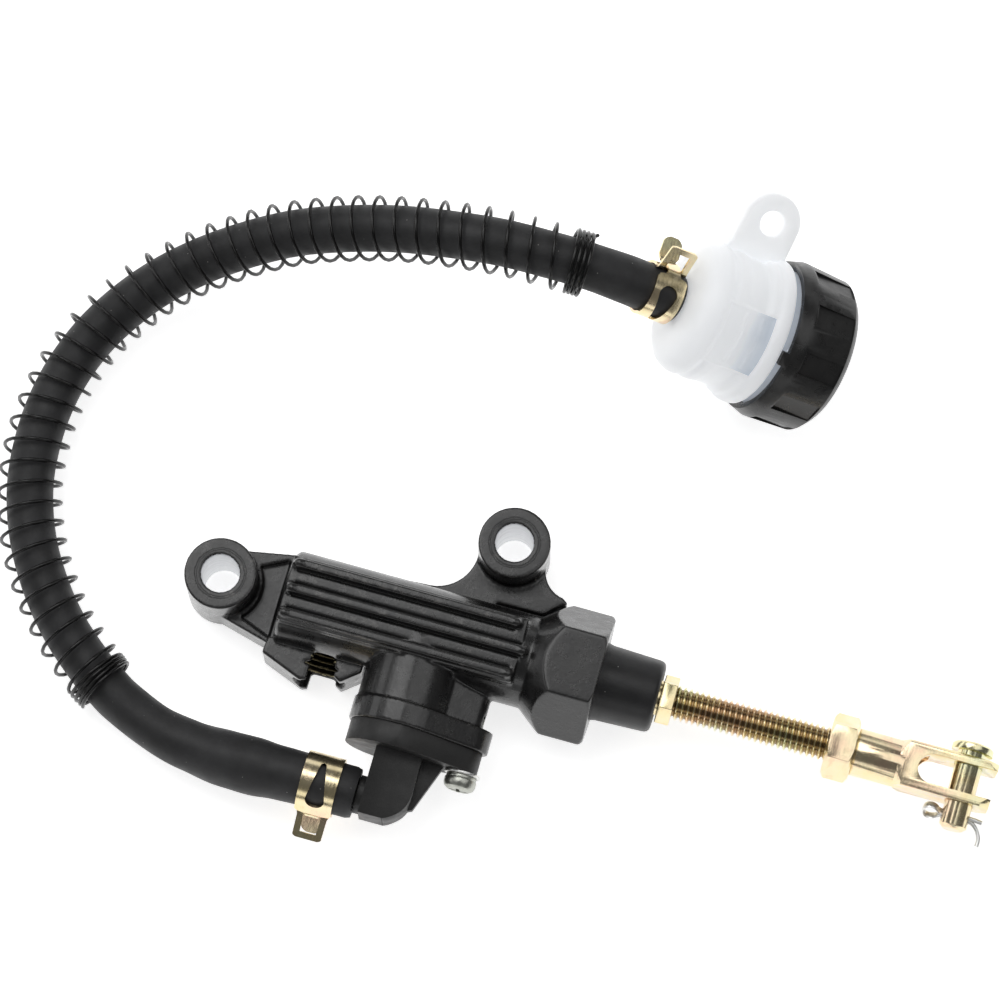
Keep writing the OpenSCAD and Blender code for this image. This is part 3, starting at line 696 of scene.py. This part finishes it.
def make_clamp(name, node, place, radius, hand, gap, wide):
    """Spring band clamp: a wide band with a teardrop slot that narrows to a tongue, a wide ear
    with a window that the tongue goes through, and the tongue's own ear."""
    line, run, band, ear = clamp_line(radius, gap)
    degree = (radius + STRIP / 2) * math.radians(1)
    shoulder = band + 336 * degree
    tip = run[-1]
    # the strip's half width at distances along it
    half = [(0, 1.9), (0.12, 2.3), (0.35, 2.5), (band - 1.2, 2.6), (band + 0.2, wide),
            (shoulder - 0.5, wide), (shoulder - 0.15, wide - 0.25), (shoulder, 2.3),
            (shoulder + 0.15, 1.5), (shoulder + 0.5, 1.2), (ear + 0.1, 1.2), (ear + 1.4, 1.9),
            (tip - 0.9, 1.75), (tip - 0.3, 1.3), (tip, 0.7)]
    window = (1.05, band - 0.05)
    narrow_end, round_end = band + 222 * degree, band + 294 * degree
    narrow_r, round_r = 0.5, 1.65
    teardrop = (narrow_end - narrow_r, round_end + round_r)

    def opening(s):
        """Half width of the window or the teardrop slot."""
        if window[0] < s < window[1]:
            return 1.35 + 0.25 * s / band
        if teardrop[0] < s < teardrop[1]:
            if s < narrow_end:
                return math.sqrt(max(0, narrow_r ** 2 - (narrow_end - s) ** 2))
            if s < round_end:
                t = (s - narrow_end) / (round_end - narrow_end)
                return narrow_r + (round_r - narrow_r) * t
            return math.sqrt(max(0, round_r ** 2 - (s - round_end) ** 2))
        return 0.0

    edges = window + teardrop
    stations = sorted({round(tip * k / 220, 4) for k in range(221)}
                      | {round(e + d, 4) for e in edges for d in (-0.02, 0.02)})
    rows, holes = [], []
    j = 0
    for s in stations:
        while j < len(run) - 2 and run[j + 1] < s:
            j += 1
        t = (s - run[j]) / (run[j + 1] - run[j])
        p = line[j].lerp(line[j + 1], t)
        before = (line[min(j + 1, len(line) - 1)] - line[max(j - 1, 0)]).normalized()
        after = (line[min(j + 2, len(line) - 1)] - line[j]).normalized()
        along_line = before.lerp(after, t).normalized()
        normal = Vector((along_line.y, -along_line.x, 0))
        w = next((v0 + (v1 - v0) * (s - s0) / (s1 - s0)
                  for (s0, v0), (s1, v1) in zip(half, half[1:]) if s <= s1), half[-1][1])
        h = opening(s)
        holes.append(h > 0.01)
        rows.append([p + normal * side * STRIP / 2 + Vector((0, 0, z))
                     for side in (-1, 1) for z in (-w, -h, h, w)])
    points = [p for row in rows for p in row]
    faces = []
    for i in range(len(rows) - 1):
        a, b = i * 8, (i + 1) * 8
        strips = [0, 2] if holes[i] or holes[i + 1] else [0, 1, 2]
        for k in strips:
            faces.append([a + k, a + k + 1, b + k + 1, b + k])
            faces.append([a + 4 + k, b + 4 + k, b + 5 + k, a + 5 + k])
        walls = [0, 3] + ([1, 2] if holes[i] or holes[i + 1] else [])
        for k in walls:
            faces.append([a + k, b + k, b + 4 + k, a + 4 + k])
    for i in range(1, len(rows)):
        if holes[i] != holes[i - 1]:
            a = (i if holes[i] else i - 1) * 8
            faces.append([a + 1, a + 2, a + 6, a + 5])
    for a in (0, (len(rows) - 1) * 8):
        faces += [[a + k, a + k + 1, a + 5 + k, a + 4 + k] for k in range(3)]
    flip = Matrix.Scale(hand, 4, (0, 1, 0))
    points = [place @ (flip @ p) for p in points]
    clamp = link(name, mesh_of(name, points, faces))
    bm = bmesh.new()
    bm.from_mesh(clamp.data)
    bmesh.ops.remove_doubles(bm, verts=bm.verts, dist=1e-5)
    bmesh.ops.recalc_face_normals(bm, faces=bm.faces)
    bm.to_mesh(clamp.data)
    bm.free()
    bevelled(clamp, 0.08, 2, 50)
    return finish_piece(clamp, ZINC, "cylinder_body", "yellow_zinc", node)


LOWER = (Matrix.Translation((26, -29.5, 10)) @ Matrix.Rotation(math.pi / 2, 4, "Y")
         @ Matrix.Rotation(math.radians(-75), 4, "Z"))
UPPER = RESERVOIR @ Matrix.Translation((0, 0, -3.5)) @ Matrix.Rotation(math.radians(135), 4, "Z")
lower_clamp = make_clamp("lower_clamp", "lower_hose_clamp", LOWER, 4.6, 1, 28, 3.15)
upper_clamp = make_clamp("upper_clamp", "upper_hose_clamp", UPPER, 4.3, -1, 42, 2.8)


# ---------------------------------------------------------------- casting

RIBS = ((12.2, 51.4, 4.4), (12.0, 53.6, 0.0), (12.0, 52.2, -4.4))  # two ends along X, place in Y
CROWN_Z = 18.1
OUTLET = (20.5, 5.5)  # the outlet's place in X and Z


def bead(x, y, r, z):
    """The round end of a rib, longer than it is wide."""
    profile = [(r * math.sin(math.pi * k / 12), -1.3 * r * math.cos(math.pi * k / 12))
               for k in range(13)]
    return lathe("bead", profile, along((x, y, z), (1, 0, 0)), 24)


def make_casting():
    """The casting with round ribs and cast fillets: its solids run together and are softened."""
    parts = [cad_copy("body_casting", "casting")]
    for x0, x1, y in RIBS:
        for x in (x0 + 0.85, x1 - 0.85):
            parts.append(bead(x, y, 0.92, CROWN_Z + 0.45))
    casting = joined("casting", parts)
    m = casting.modifiers.new("remesh", "REMESH")
    m.mode = "VOXEL"
    m.voxel_size = 0.24 * MM
    m.adaptivity = 0.0
    s = casting.modifiers.new("soften", "SMOOTH")
    s.factor = 0.5
    s.iterations = 4
    d = casting.modifiers.new("thin", "DECIMATE")
    d.ratio = 0.42
    applied(casting)
    mesh = casting.data
    mesh.materials.clear()
    for material in (PAINT, BARE, TAPPED):
        mesh.materials.append(material)
    hole_r, outlet_r, outlet_face = 3.55, 4.9, -10.3
    for f in mesh.polygons:
        c = f.center / MM
        for boss in BOSSES:
            out = Vector((c.x, c.y)) - Vector(boss)
            if out.length < hole_r and abs(f.normal.z) < 0.6:
                f.material_index = 1
        out = Vector((c.x, c.z)) - Vector(OUTLET)
        if out.length < outlet_r and outlet_face < c.y < -1 and abs(f.normal.y) < 0.85:
            f.material_index = 2
    mesh.polygons.foreach_set("use_smooth", [True] * len(mesh.polygons))
    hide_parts("body_casting")
    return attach(casting, "cylinder_body")


make_casting()


# ---------------------------------------------------------------- rod and clevis

def x_place(x):
    """A frame on the bore's axis, with Z along it."""
    return along((x, 0, AXIS_Z), (1, 0, 0))


def make_thread(x0, x1, crest, pitch=1.0):
    """A bar with a real helical thread."""
    root = crest - 0.61 * pitch
    # one turn's shape: part of the pitch, radius
    profile = [(0.00, root), (0.10, root), (0.32, crest - 0.18), (0.42, crest),
               (0.55, crest), (0.65, crest - 0.18), (0.87, root)]
    sides, per_turn = 40, len(profile)
    rows = int((x1 - x0) / pitch + 2) * per_turn
    points = []
    for i in range(sides):
        for k in range(rows + 1):
            turn, step = divmod(k, per_turn)
            x = x0 + pitch * (turn - 1 + profile[step][0] + i / sides)
            r = profile[step][1]
            fade = min(1, max(0, (x1 - x) / 0.8), max(0, (x - x0) / 0.5))
            r = root + (r - root) * fade
            x = min(x1, max(x0, x))
            a = TAU * i / sides
            points.append(Vector((x, r * math.cos(a), AXIS_Z + r * math.sin(a))))
    faces = []
    for i in range(sides):
        for k in range(rows):
            if i + 1 < sides:
                a, b = (i + 1) * (rows + 1) + k, (i + 1) * (rows + 1) + k + 1
            else:
                if k + per_turn + 1 > rows:
                    continue
                a, b = k + per_turn, k + per_turn + 1
            faces.append([i * (rows + 1) + k, i * (rows + 1) + k + 1, b, a])
    mesh = mesh_of("thread", points, faces)
    bm = bmesh.new()
    bm.from_mesh(mesh)
    bmesh.ops.remove_doubles(bm, verts=bm.verts, dist=1e-6)
    bmesh.ops.holes_fill(bm, edges=bm.edges, sides=0)
    bmesh.ops.recalc_face_normals(bm, faces=bm.faces)
    bm.to_mesh(mesh)
    bm.free()
    return link("thread", mesh)


def x_hex(name, x0, x1, flats):
    """A hexagonal bar along the bore's axis."""
    r = flats / 2 / math.cos(math.pi / 6)
    outline = [(r * math.cos(math.radians(60 * k)), r * math.sin(math.radians(60 * k)))
               for k in range(6)]
    return prism(name, outline, 0, x1 - x0, Matrix.Translation((x0, 0, AXIS_Z)) @ STANDING)


def make_push_rod():
    """Push rod: a ball end, a hexagon collar and a thread."""
    ball_r = 3.4
    ball = [(ball_r * math.sin(math.pi * k / 24), -ball_r * math.cos(math.pi * k / 24))
            for k in range(20)]
    shank = ball + [(2.2, 3.2), (2.2, 8.4), (3.0, 9.2), (3.0, 20.4), (2.4, 22.6), (2.4, 23.0),
                    (0, 23.0)]
    body = lathe("shank", shank, x_place(57), 48)
    collar = bevelled(x_hex("collar", 77.2, 79.7, 7.4), 0.14, 2)
    thread = make_thread(79.5, 119, 3.0)
    rod = joined("threaded_rod", [body, collar, thread])
    finish_piece(rod, THREAD_ZINC, "rod", "yellow_zinc", "push_rod", angle=32)


make_push_rod()


# ---------------------------------------------------------------- pieces shaped from the CAD

INLET_X = 36.5
REFINED = (
    # node, width of the rounded edges, material, body, slot
    ("lock_nut", 0.10, ZINC, "nut", "yellow_zinc"),
    ("clevis", 0.16, ZINC, "fork", "yellow_zinc"),
    ("clevis_pin", 0.14, ZINC, "fork_pin", "yellow_zinc"),
    ("inlet_elbow", 0.22, NYLON, "cylinder_body", "black_plastic"),
    ("elbow_screw", 0.10, DULL, "cylinder_body", "bright_zinc"),
    ("elbow_spring_washer", 0.08, DULL, "cylinder_body", "bright_zinc"),
    ("elbow_flat_washer", 0.08, BRIGHT, "cylinder_body", "bright_zinc"),
    ("reservoir_cap", 0.25, CAP, "lid", "cap_plastic"),
    ("piston", 0.1, ALLOY, "piston_assembly", "alloy"),
    ("circlip", 0.1, STEEL, "cylinder_body", "spring_steel"),
    ("stop_washer", 0.1, PLATE, "cylinder_body", "zinc_plate"),
    ("spring_seat", 0.1, PLATE, "cylinder_body", "zinc_plate"),
    ("diaphragm_plate", 0.1, WHITE, "lid_seal", "white_plastic"),
    ("reservoir_diaphragm", 0.1, SEAL, "lid_seal", "seal_rubber"),
    ("primary_cup_seal", 0.05, SEAL, "piston_assembly", "seal_rubber"),
    ("secondary_cup_seal", 0.05, SEAL, "piston_assembly", "seal_rubber"),
)


def rounded_corners(obj, corners, size):
    """Rounds the upright edges that stand at the given corners."""
    bm = bmesh.new()
    bm.from_mesh(obj.data)
    edges = [e for e in bm.edges
             if all(any((v.co.xy / MM - Vector(c)).length < 0.05 for c in corners) for v in e.verts)
             and (e.verts[0].co.xy - e.verts[1].co.xy).length < 1e-5]
    bmesh.ops.bevel(bm, geom=edges, offset=size * MM, segments=5, profile=0.5, affect="EDGES")
    bm.to_mesh(obj.data)
    bm.free()


for node, width, material, body, slot in REFINED:
    piece = cad_copy(node, node + "_piece")
    if node == "inlet_elbow":
        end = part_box(node)[0][1] / MM
        rounded_corners(piece, [(INLET_X + 5, end + 3), (INLET_X + 2.2, end + 0.2)], 1.9)
    bevelled(piece, width, 2, 28)
    finish_piece(piece, material, body, slot, node)

o_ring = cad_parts["elbow_o_ring"]
o_ring.data.materials.clear()
o_ring.data.materials.append(SEAL)


def make_return_spring():
    """The return spring's wire, copied from the CAD."""
    spring = cad_copy("return_spring", "return_spring_wire")
    spring.data.materials.append(STEEL)
    shade(spring, 50)
    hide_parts("return_spring")
    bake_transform(spring)


make_return_spring()


# ---------------------------------------------------------------- split pin

def make_split_pin():
    """Split pin of half-round wire: an open eye, a straight leg and a leg bent away."""
    low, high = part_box("clevis_pin")
    middle = Vector(((low[0] + high[0]) / 2, low[1], (low[2] + high[2]) / 2)) / MM
    middle += Vector((0, 2.3, 0))
    half_eye = [(-2.2, 0.28), (-2.9, 0.55), (-3.5, 1.15), (-4.4, 1.4), (-5.2, 1.0), (-5.5, 0)]
    eye = [(x, y, 0) for x, y in half_eye] + [(x, -y, 0) for x, y in half_eye[-2::-1]]
    straight = [(-2.9, 0.3, 0), (0, 0.3, 0), (2.6, 0.3, 0), (3.6, 0.22, 0.1), (4.6, 0.05, 0.2)]
    bent = [(-2.9, -0.3, 0), (0, -0.3, 0), (2.4, -0.3, 0), (3.4, -0.7, 0), (4.2, -1.6, 0),
            (4.7, -2.8, 0), (4.7, -4, 0)]
    parts = []
    for name, points, turn, width, flat in (("eye", eye, 60, 0.72, 0.34),
                                            ("straight_leg", straight, 0, 0.5, 0.8),
                                            ("bent_leg", bent, 0, 0.5, 0.8)):
        path, _ = smooth_path(points, 0.2)
        rings = sweep_rings(path, [width] * len(path), 14, flat)
        place = Matrix.Translation(middle) @ Matrix.Rotation(math.radians(turn), 4, "X")
        parts.append(loft(name, [[place @ p for p in ring] for ring in rings]))
    pin = joined("split_pin_wire", parts)
    finish_piece(pin, BRIGHT, "fork_pin", "bright_zinc", "split_pin", angle=50)


make_split_pin()


# ---------------------------------------------------------------- boot

def make_boot():
    """Rubber boot: a plain cone with a rounded lip, open enough for the rod's swivel."""
    start_x = 63.6
    # the outside from the casting to the lip, then the inside back again
    profile = [(6.75, 0), (6.75, 3.0), (6.62, 3.4), (6.52, 3.9)]
    rings = 14
    for k in range(1, rings):
        t = k / rings
        profile.append((6.52 - 0.30 * t, 3.9 + 8.2 * t))
    profile += [(6.22, 12.1), (6.15, 12.5), (5.95, 12.9), (5.6, 13.15), (5.2, 13.25), (4.6, 13.25),
                (4.35, 13.2), (4.25, 13.05), (4.25, 11.4), (4.4, 11.3), (4.8, 11.3),
                (5.2, 10.5), (5.2, 7.0), (5.2, 3.0), (5.6, 0)]
    boot = lathe("boot_rubber", profile, x_place(start_x))
    boot.data.materials.append(BOOT)
    shade(boot, 50)
    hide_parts("dust_boot")
    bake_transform(boot)


make_boot()


# ---------------------------------------------------------------- reservoir

PANEL_MIDDLE, PANEL_SPREAD = 207.5, 29  # degrees round the bottle
PANEL_LOW, PANEL_HIGH = 4.3, 13.9
LEVELS = (8.2, 11.4)


def panel_place(point):
    """A point's distance from the bottle's axis, and its angle from the panel's middle."""
    angle = math.degrees(math.atan2(point.y, point.x))
    return math.hypot(point.x, point.y), abs((angle - PANEL_MIDDLE + 540) % 360 - 180)


def make_bottle():
    """Blow moulded bottle: bowl, waist, a sunk panel with two level lines on the side that is
    looked at, a bead under the cap and a mounting tab."""
    outside = [(2.4, -9), (2.4, 0.15), (3.4, 0.2), (3.7, 0.32), (5.0, 0.42), (6.5, 0.6),
               (8.2, 0.75), (9.4, 1.0), (10.3, 1.4), (11.0, 2.0), (11.5, 2.8), (11.75, 3.6)]
    wall = [(3.8, 11.8), (4.5, 11.8), (5.3, 11.45), (6.3, 11.8), (7.2, 11.8), (9.0, 11.5),
            (11.4, 11.4), (12.8, 12.3), (13.7, 12.4)]
    outside += [(table_value(wall, 3.8 + 0.2 * k), 3.8 + 0.2 * k) for k in range(50)]
    outside += [(12.5, 13.85), (12.85, 14.05), (13.0, 14.5), (13.02, 15.6), (12.9, 16.05),
                (12.5, 16.2), (12.05, 16.25), (11.9, 16.5), (11.9, 25)]
    inside = [(10.5, 25), (10.5, 15.2), (11.2, 14.2), (11.2, 13.2), (10.4, 11.7), (10.4, 9),
              (10.7, 7), (10.4, 5.4), (10.7, 4.2), (10.4, 3.3), (9, 2.2), (5.5, 1.6),
              (1.5, 1.5), (1.5, -9)]
    body = lathe("bottle_wall", outside + inside, Matrix.Identity(4), 240)
    panel_r, relief, line_half = 11.78, 0.2, 0.3
    for v in body.data.vertices:
        p = v.co / MM
        r, off = panel_place(p)
        if r < 11.3 or off > PANEL_SPREAD or not PANEL_LOW < p.z < PANEL_HIGH:
            continue
        # a raised rim round the panel, and a raised line at each of the two levels
        edge = min((PANEL_SPREAD - off) * 0.2, p.z - PANEL_LOW, PANEL_HIGH - p.z)
        rim = max(0, min(1, edge / 0.25) - max(0, (edge - 0.45) / 0.25))
        level = 0
        if off <= PANEL_SPREAD - 6:
            level = max(0, *(1 - abs(p.z - z) / line_half for z in LEVELS))
        r_new = panel_r + relief * min(1, max(rim, 1.6 * level)) if edge > 0.1 else r
        v.co.x, v.co.y = p.x * r_new / r * MM, p.y * r_new / r * MM
    tab_y, tab_z, tab_r = 18.1, 10.2, 5.15
    tab_half, hole_r = 1.3, 2.15
    outline = [(9.5, 4.15), (12.7, 4.2), (13.0, 4.5)] + arc(tab_y, tab_z, tab_r, -90, 90)
    outline += [(9.5, 15.0)]
    face = Matrix.Rotation(math.radians(20.5), 4, "Z") @ STANDING
    tab = prism("tab", outline, -tab_half, tab_half, face)
    cut(tab, prism("cutter", arc(tab_y, tab_z, hole_r, 0, 354), -3, 3, face))
    bevelled(tab, 0.45, 3, 40)
    inner = lathe("cutter", [(0, -3), (11.3, -3), (11.3, 30), (0, 30)], Matrix.Identity(4), 64)
    cut(tab, inner)
    bottle = joined("bottle", [body, tab])
    mesh = bottle.data
    mesh.materials.clear()
    mesh.materials.append(MILKY)
    mesh.materials.append(THIN)
    for f in mesh.polygons:
        c = f.center / MM
        r, off = panel_place(c)
        in_panel = off < PANEL_SPREAD - 2 and 4.7 < c.z < 13.5 and r > 11.5
        if in_panel or (c.z > 16.2 and 11.5 < r < 12.7):
            f.material_index = 1
    mesh.transform(Matrix.Scale(1 / MM, 4))
    mesh.transform(RESERVOIR)
    mesh.transform(Matrix.Scale(MM, 4))
    shade(bottle, 30)
    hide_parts("reservoir_base", "reservoir_bottle", "reservoir_tab")
    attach(bottle, "cylinder_body")


make_bottle()


# ---------------------------------------------------------------- stage and light

LIT_POINT = Vector((0.045, 0.02, 0.01))


def area_light(name, at, size, radiance):
    """A rectangular light that faces the part."""
    data = bpy.data.lights.new(name, "AREA")
    data.shape = "RECTANGLE"
    data.size, data.size_y = size
    data.energy = radiance * math.pi * size[0] * size[1]
    lamp = bpy.data.objects.new(name, data)
    bpy.context.scene.collection.objects.link(lamp)
    lamp.location = at
    lamp.rotation_mode = "QUATERNION"
    lamp.rotation_quaternion = (LIT_POINT - Vector(at)).to_track_quat("-Z", "Y")


def make_stage():
    """White table, pale world and soft lights."""
    floor_mesh = bpy.data.meshes.new("floor")
    reach, z = 3.0, -2e-5
    corners = [(-reach, -reach, z), (reach, -reach, z), (reach, reach, z), (-reach, reach, z)]
    floor_mesh.from_pydata(corners, [], [(0, 1, 2, 3)])
    floor = link("floor", floor_mesh)
    table = Nodes("white table", Roughness=0.7, Base_Color=(0.9, 0.9, 0.9, 1),
                  Emission_Color=(1, 1, 1, 1), Emission_Strength=0.75)
    floor.data.materials.append(table.material)
    world = bpy.data.worlds.new("studio")
    bpy.context.scene.world = world
    world.use_nodes = True
    background = world.node_tree.nodes["Background"]
    background.inputs["Color"].default_value = (0.97, 0.98, 1.0, 1)
    background.inputs["Strength"].default_value = 0.12
    area_light("left softbox", (-0.37, 0.30, 0.92), (0.66, 0.8), 2.2)
    area_light("right softbox", (0.43, 0.22, 0.88), (0.62, 0.7), 1.05)
    area_light("left card", (-1.0, 0.1, 0.42), (1.2, 0.36), 1.3)
    area_light("back card", (0.1, 1.0, 0.45), (1.4, 0.36), 0.8)
    area_light("front card", (0.05, -1.0, 0.45), (1.2, 0.36), 1.0)
    bpy.context.scene.view_settings.view_transform = "Standard"


make_stage()
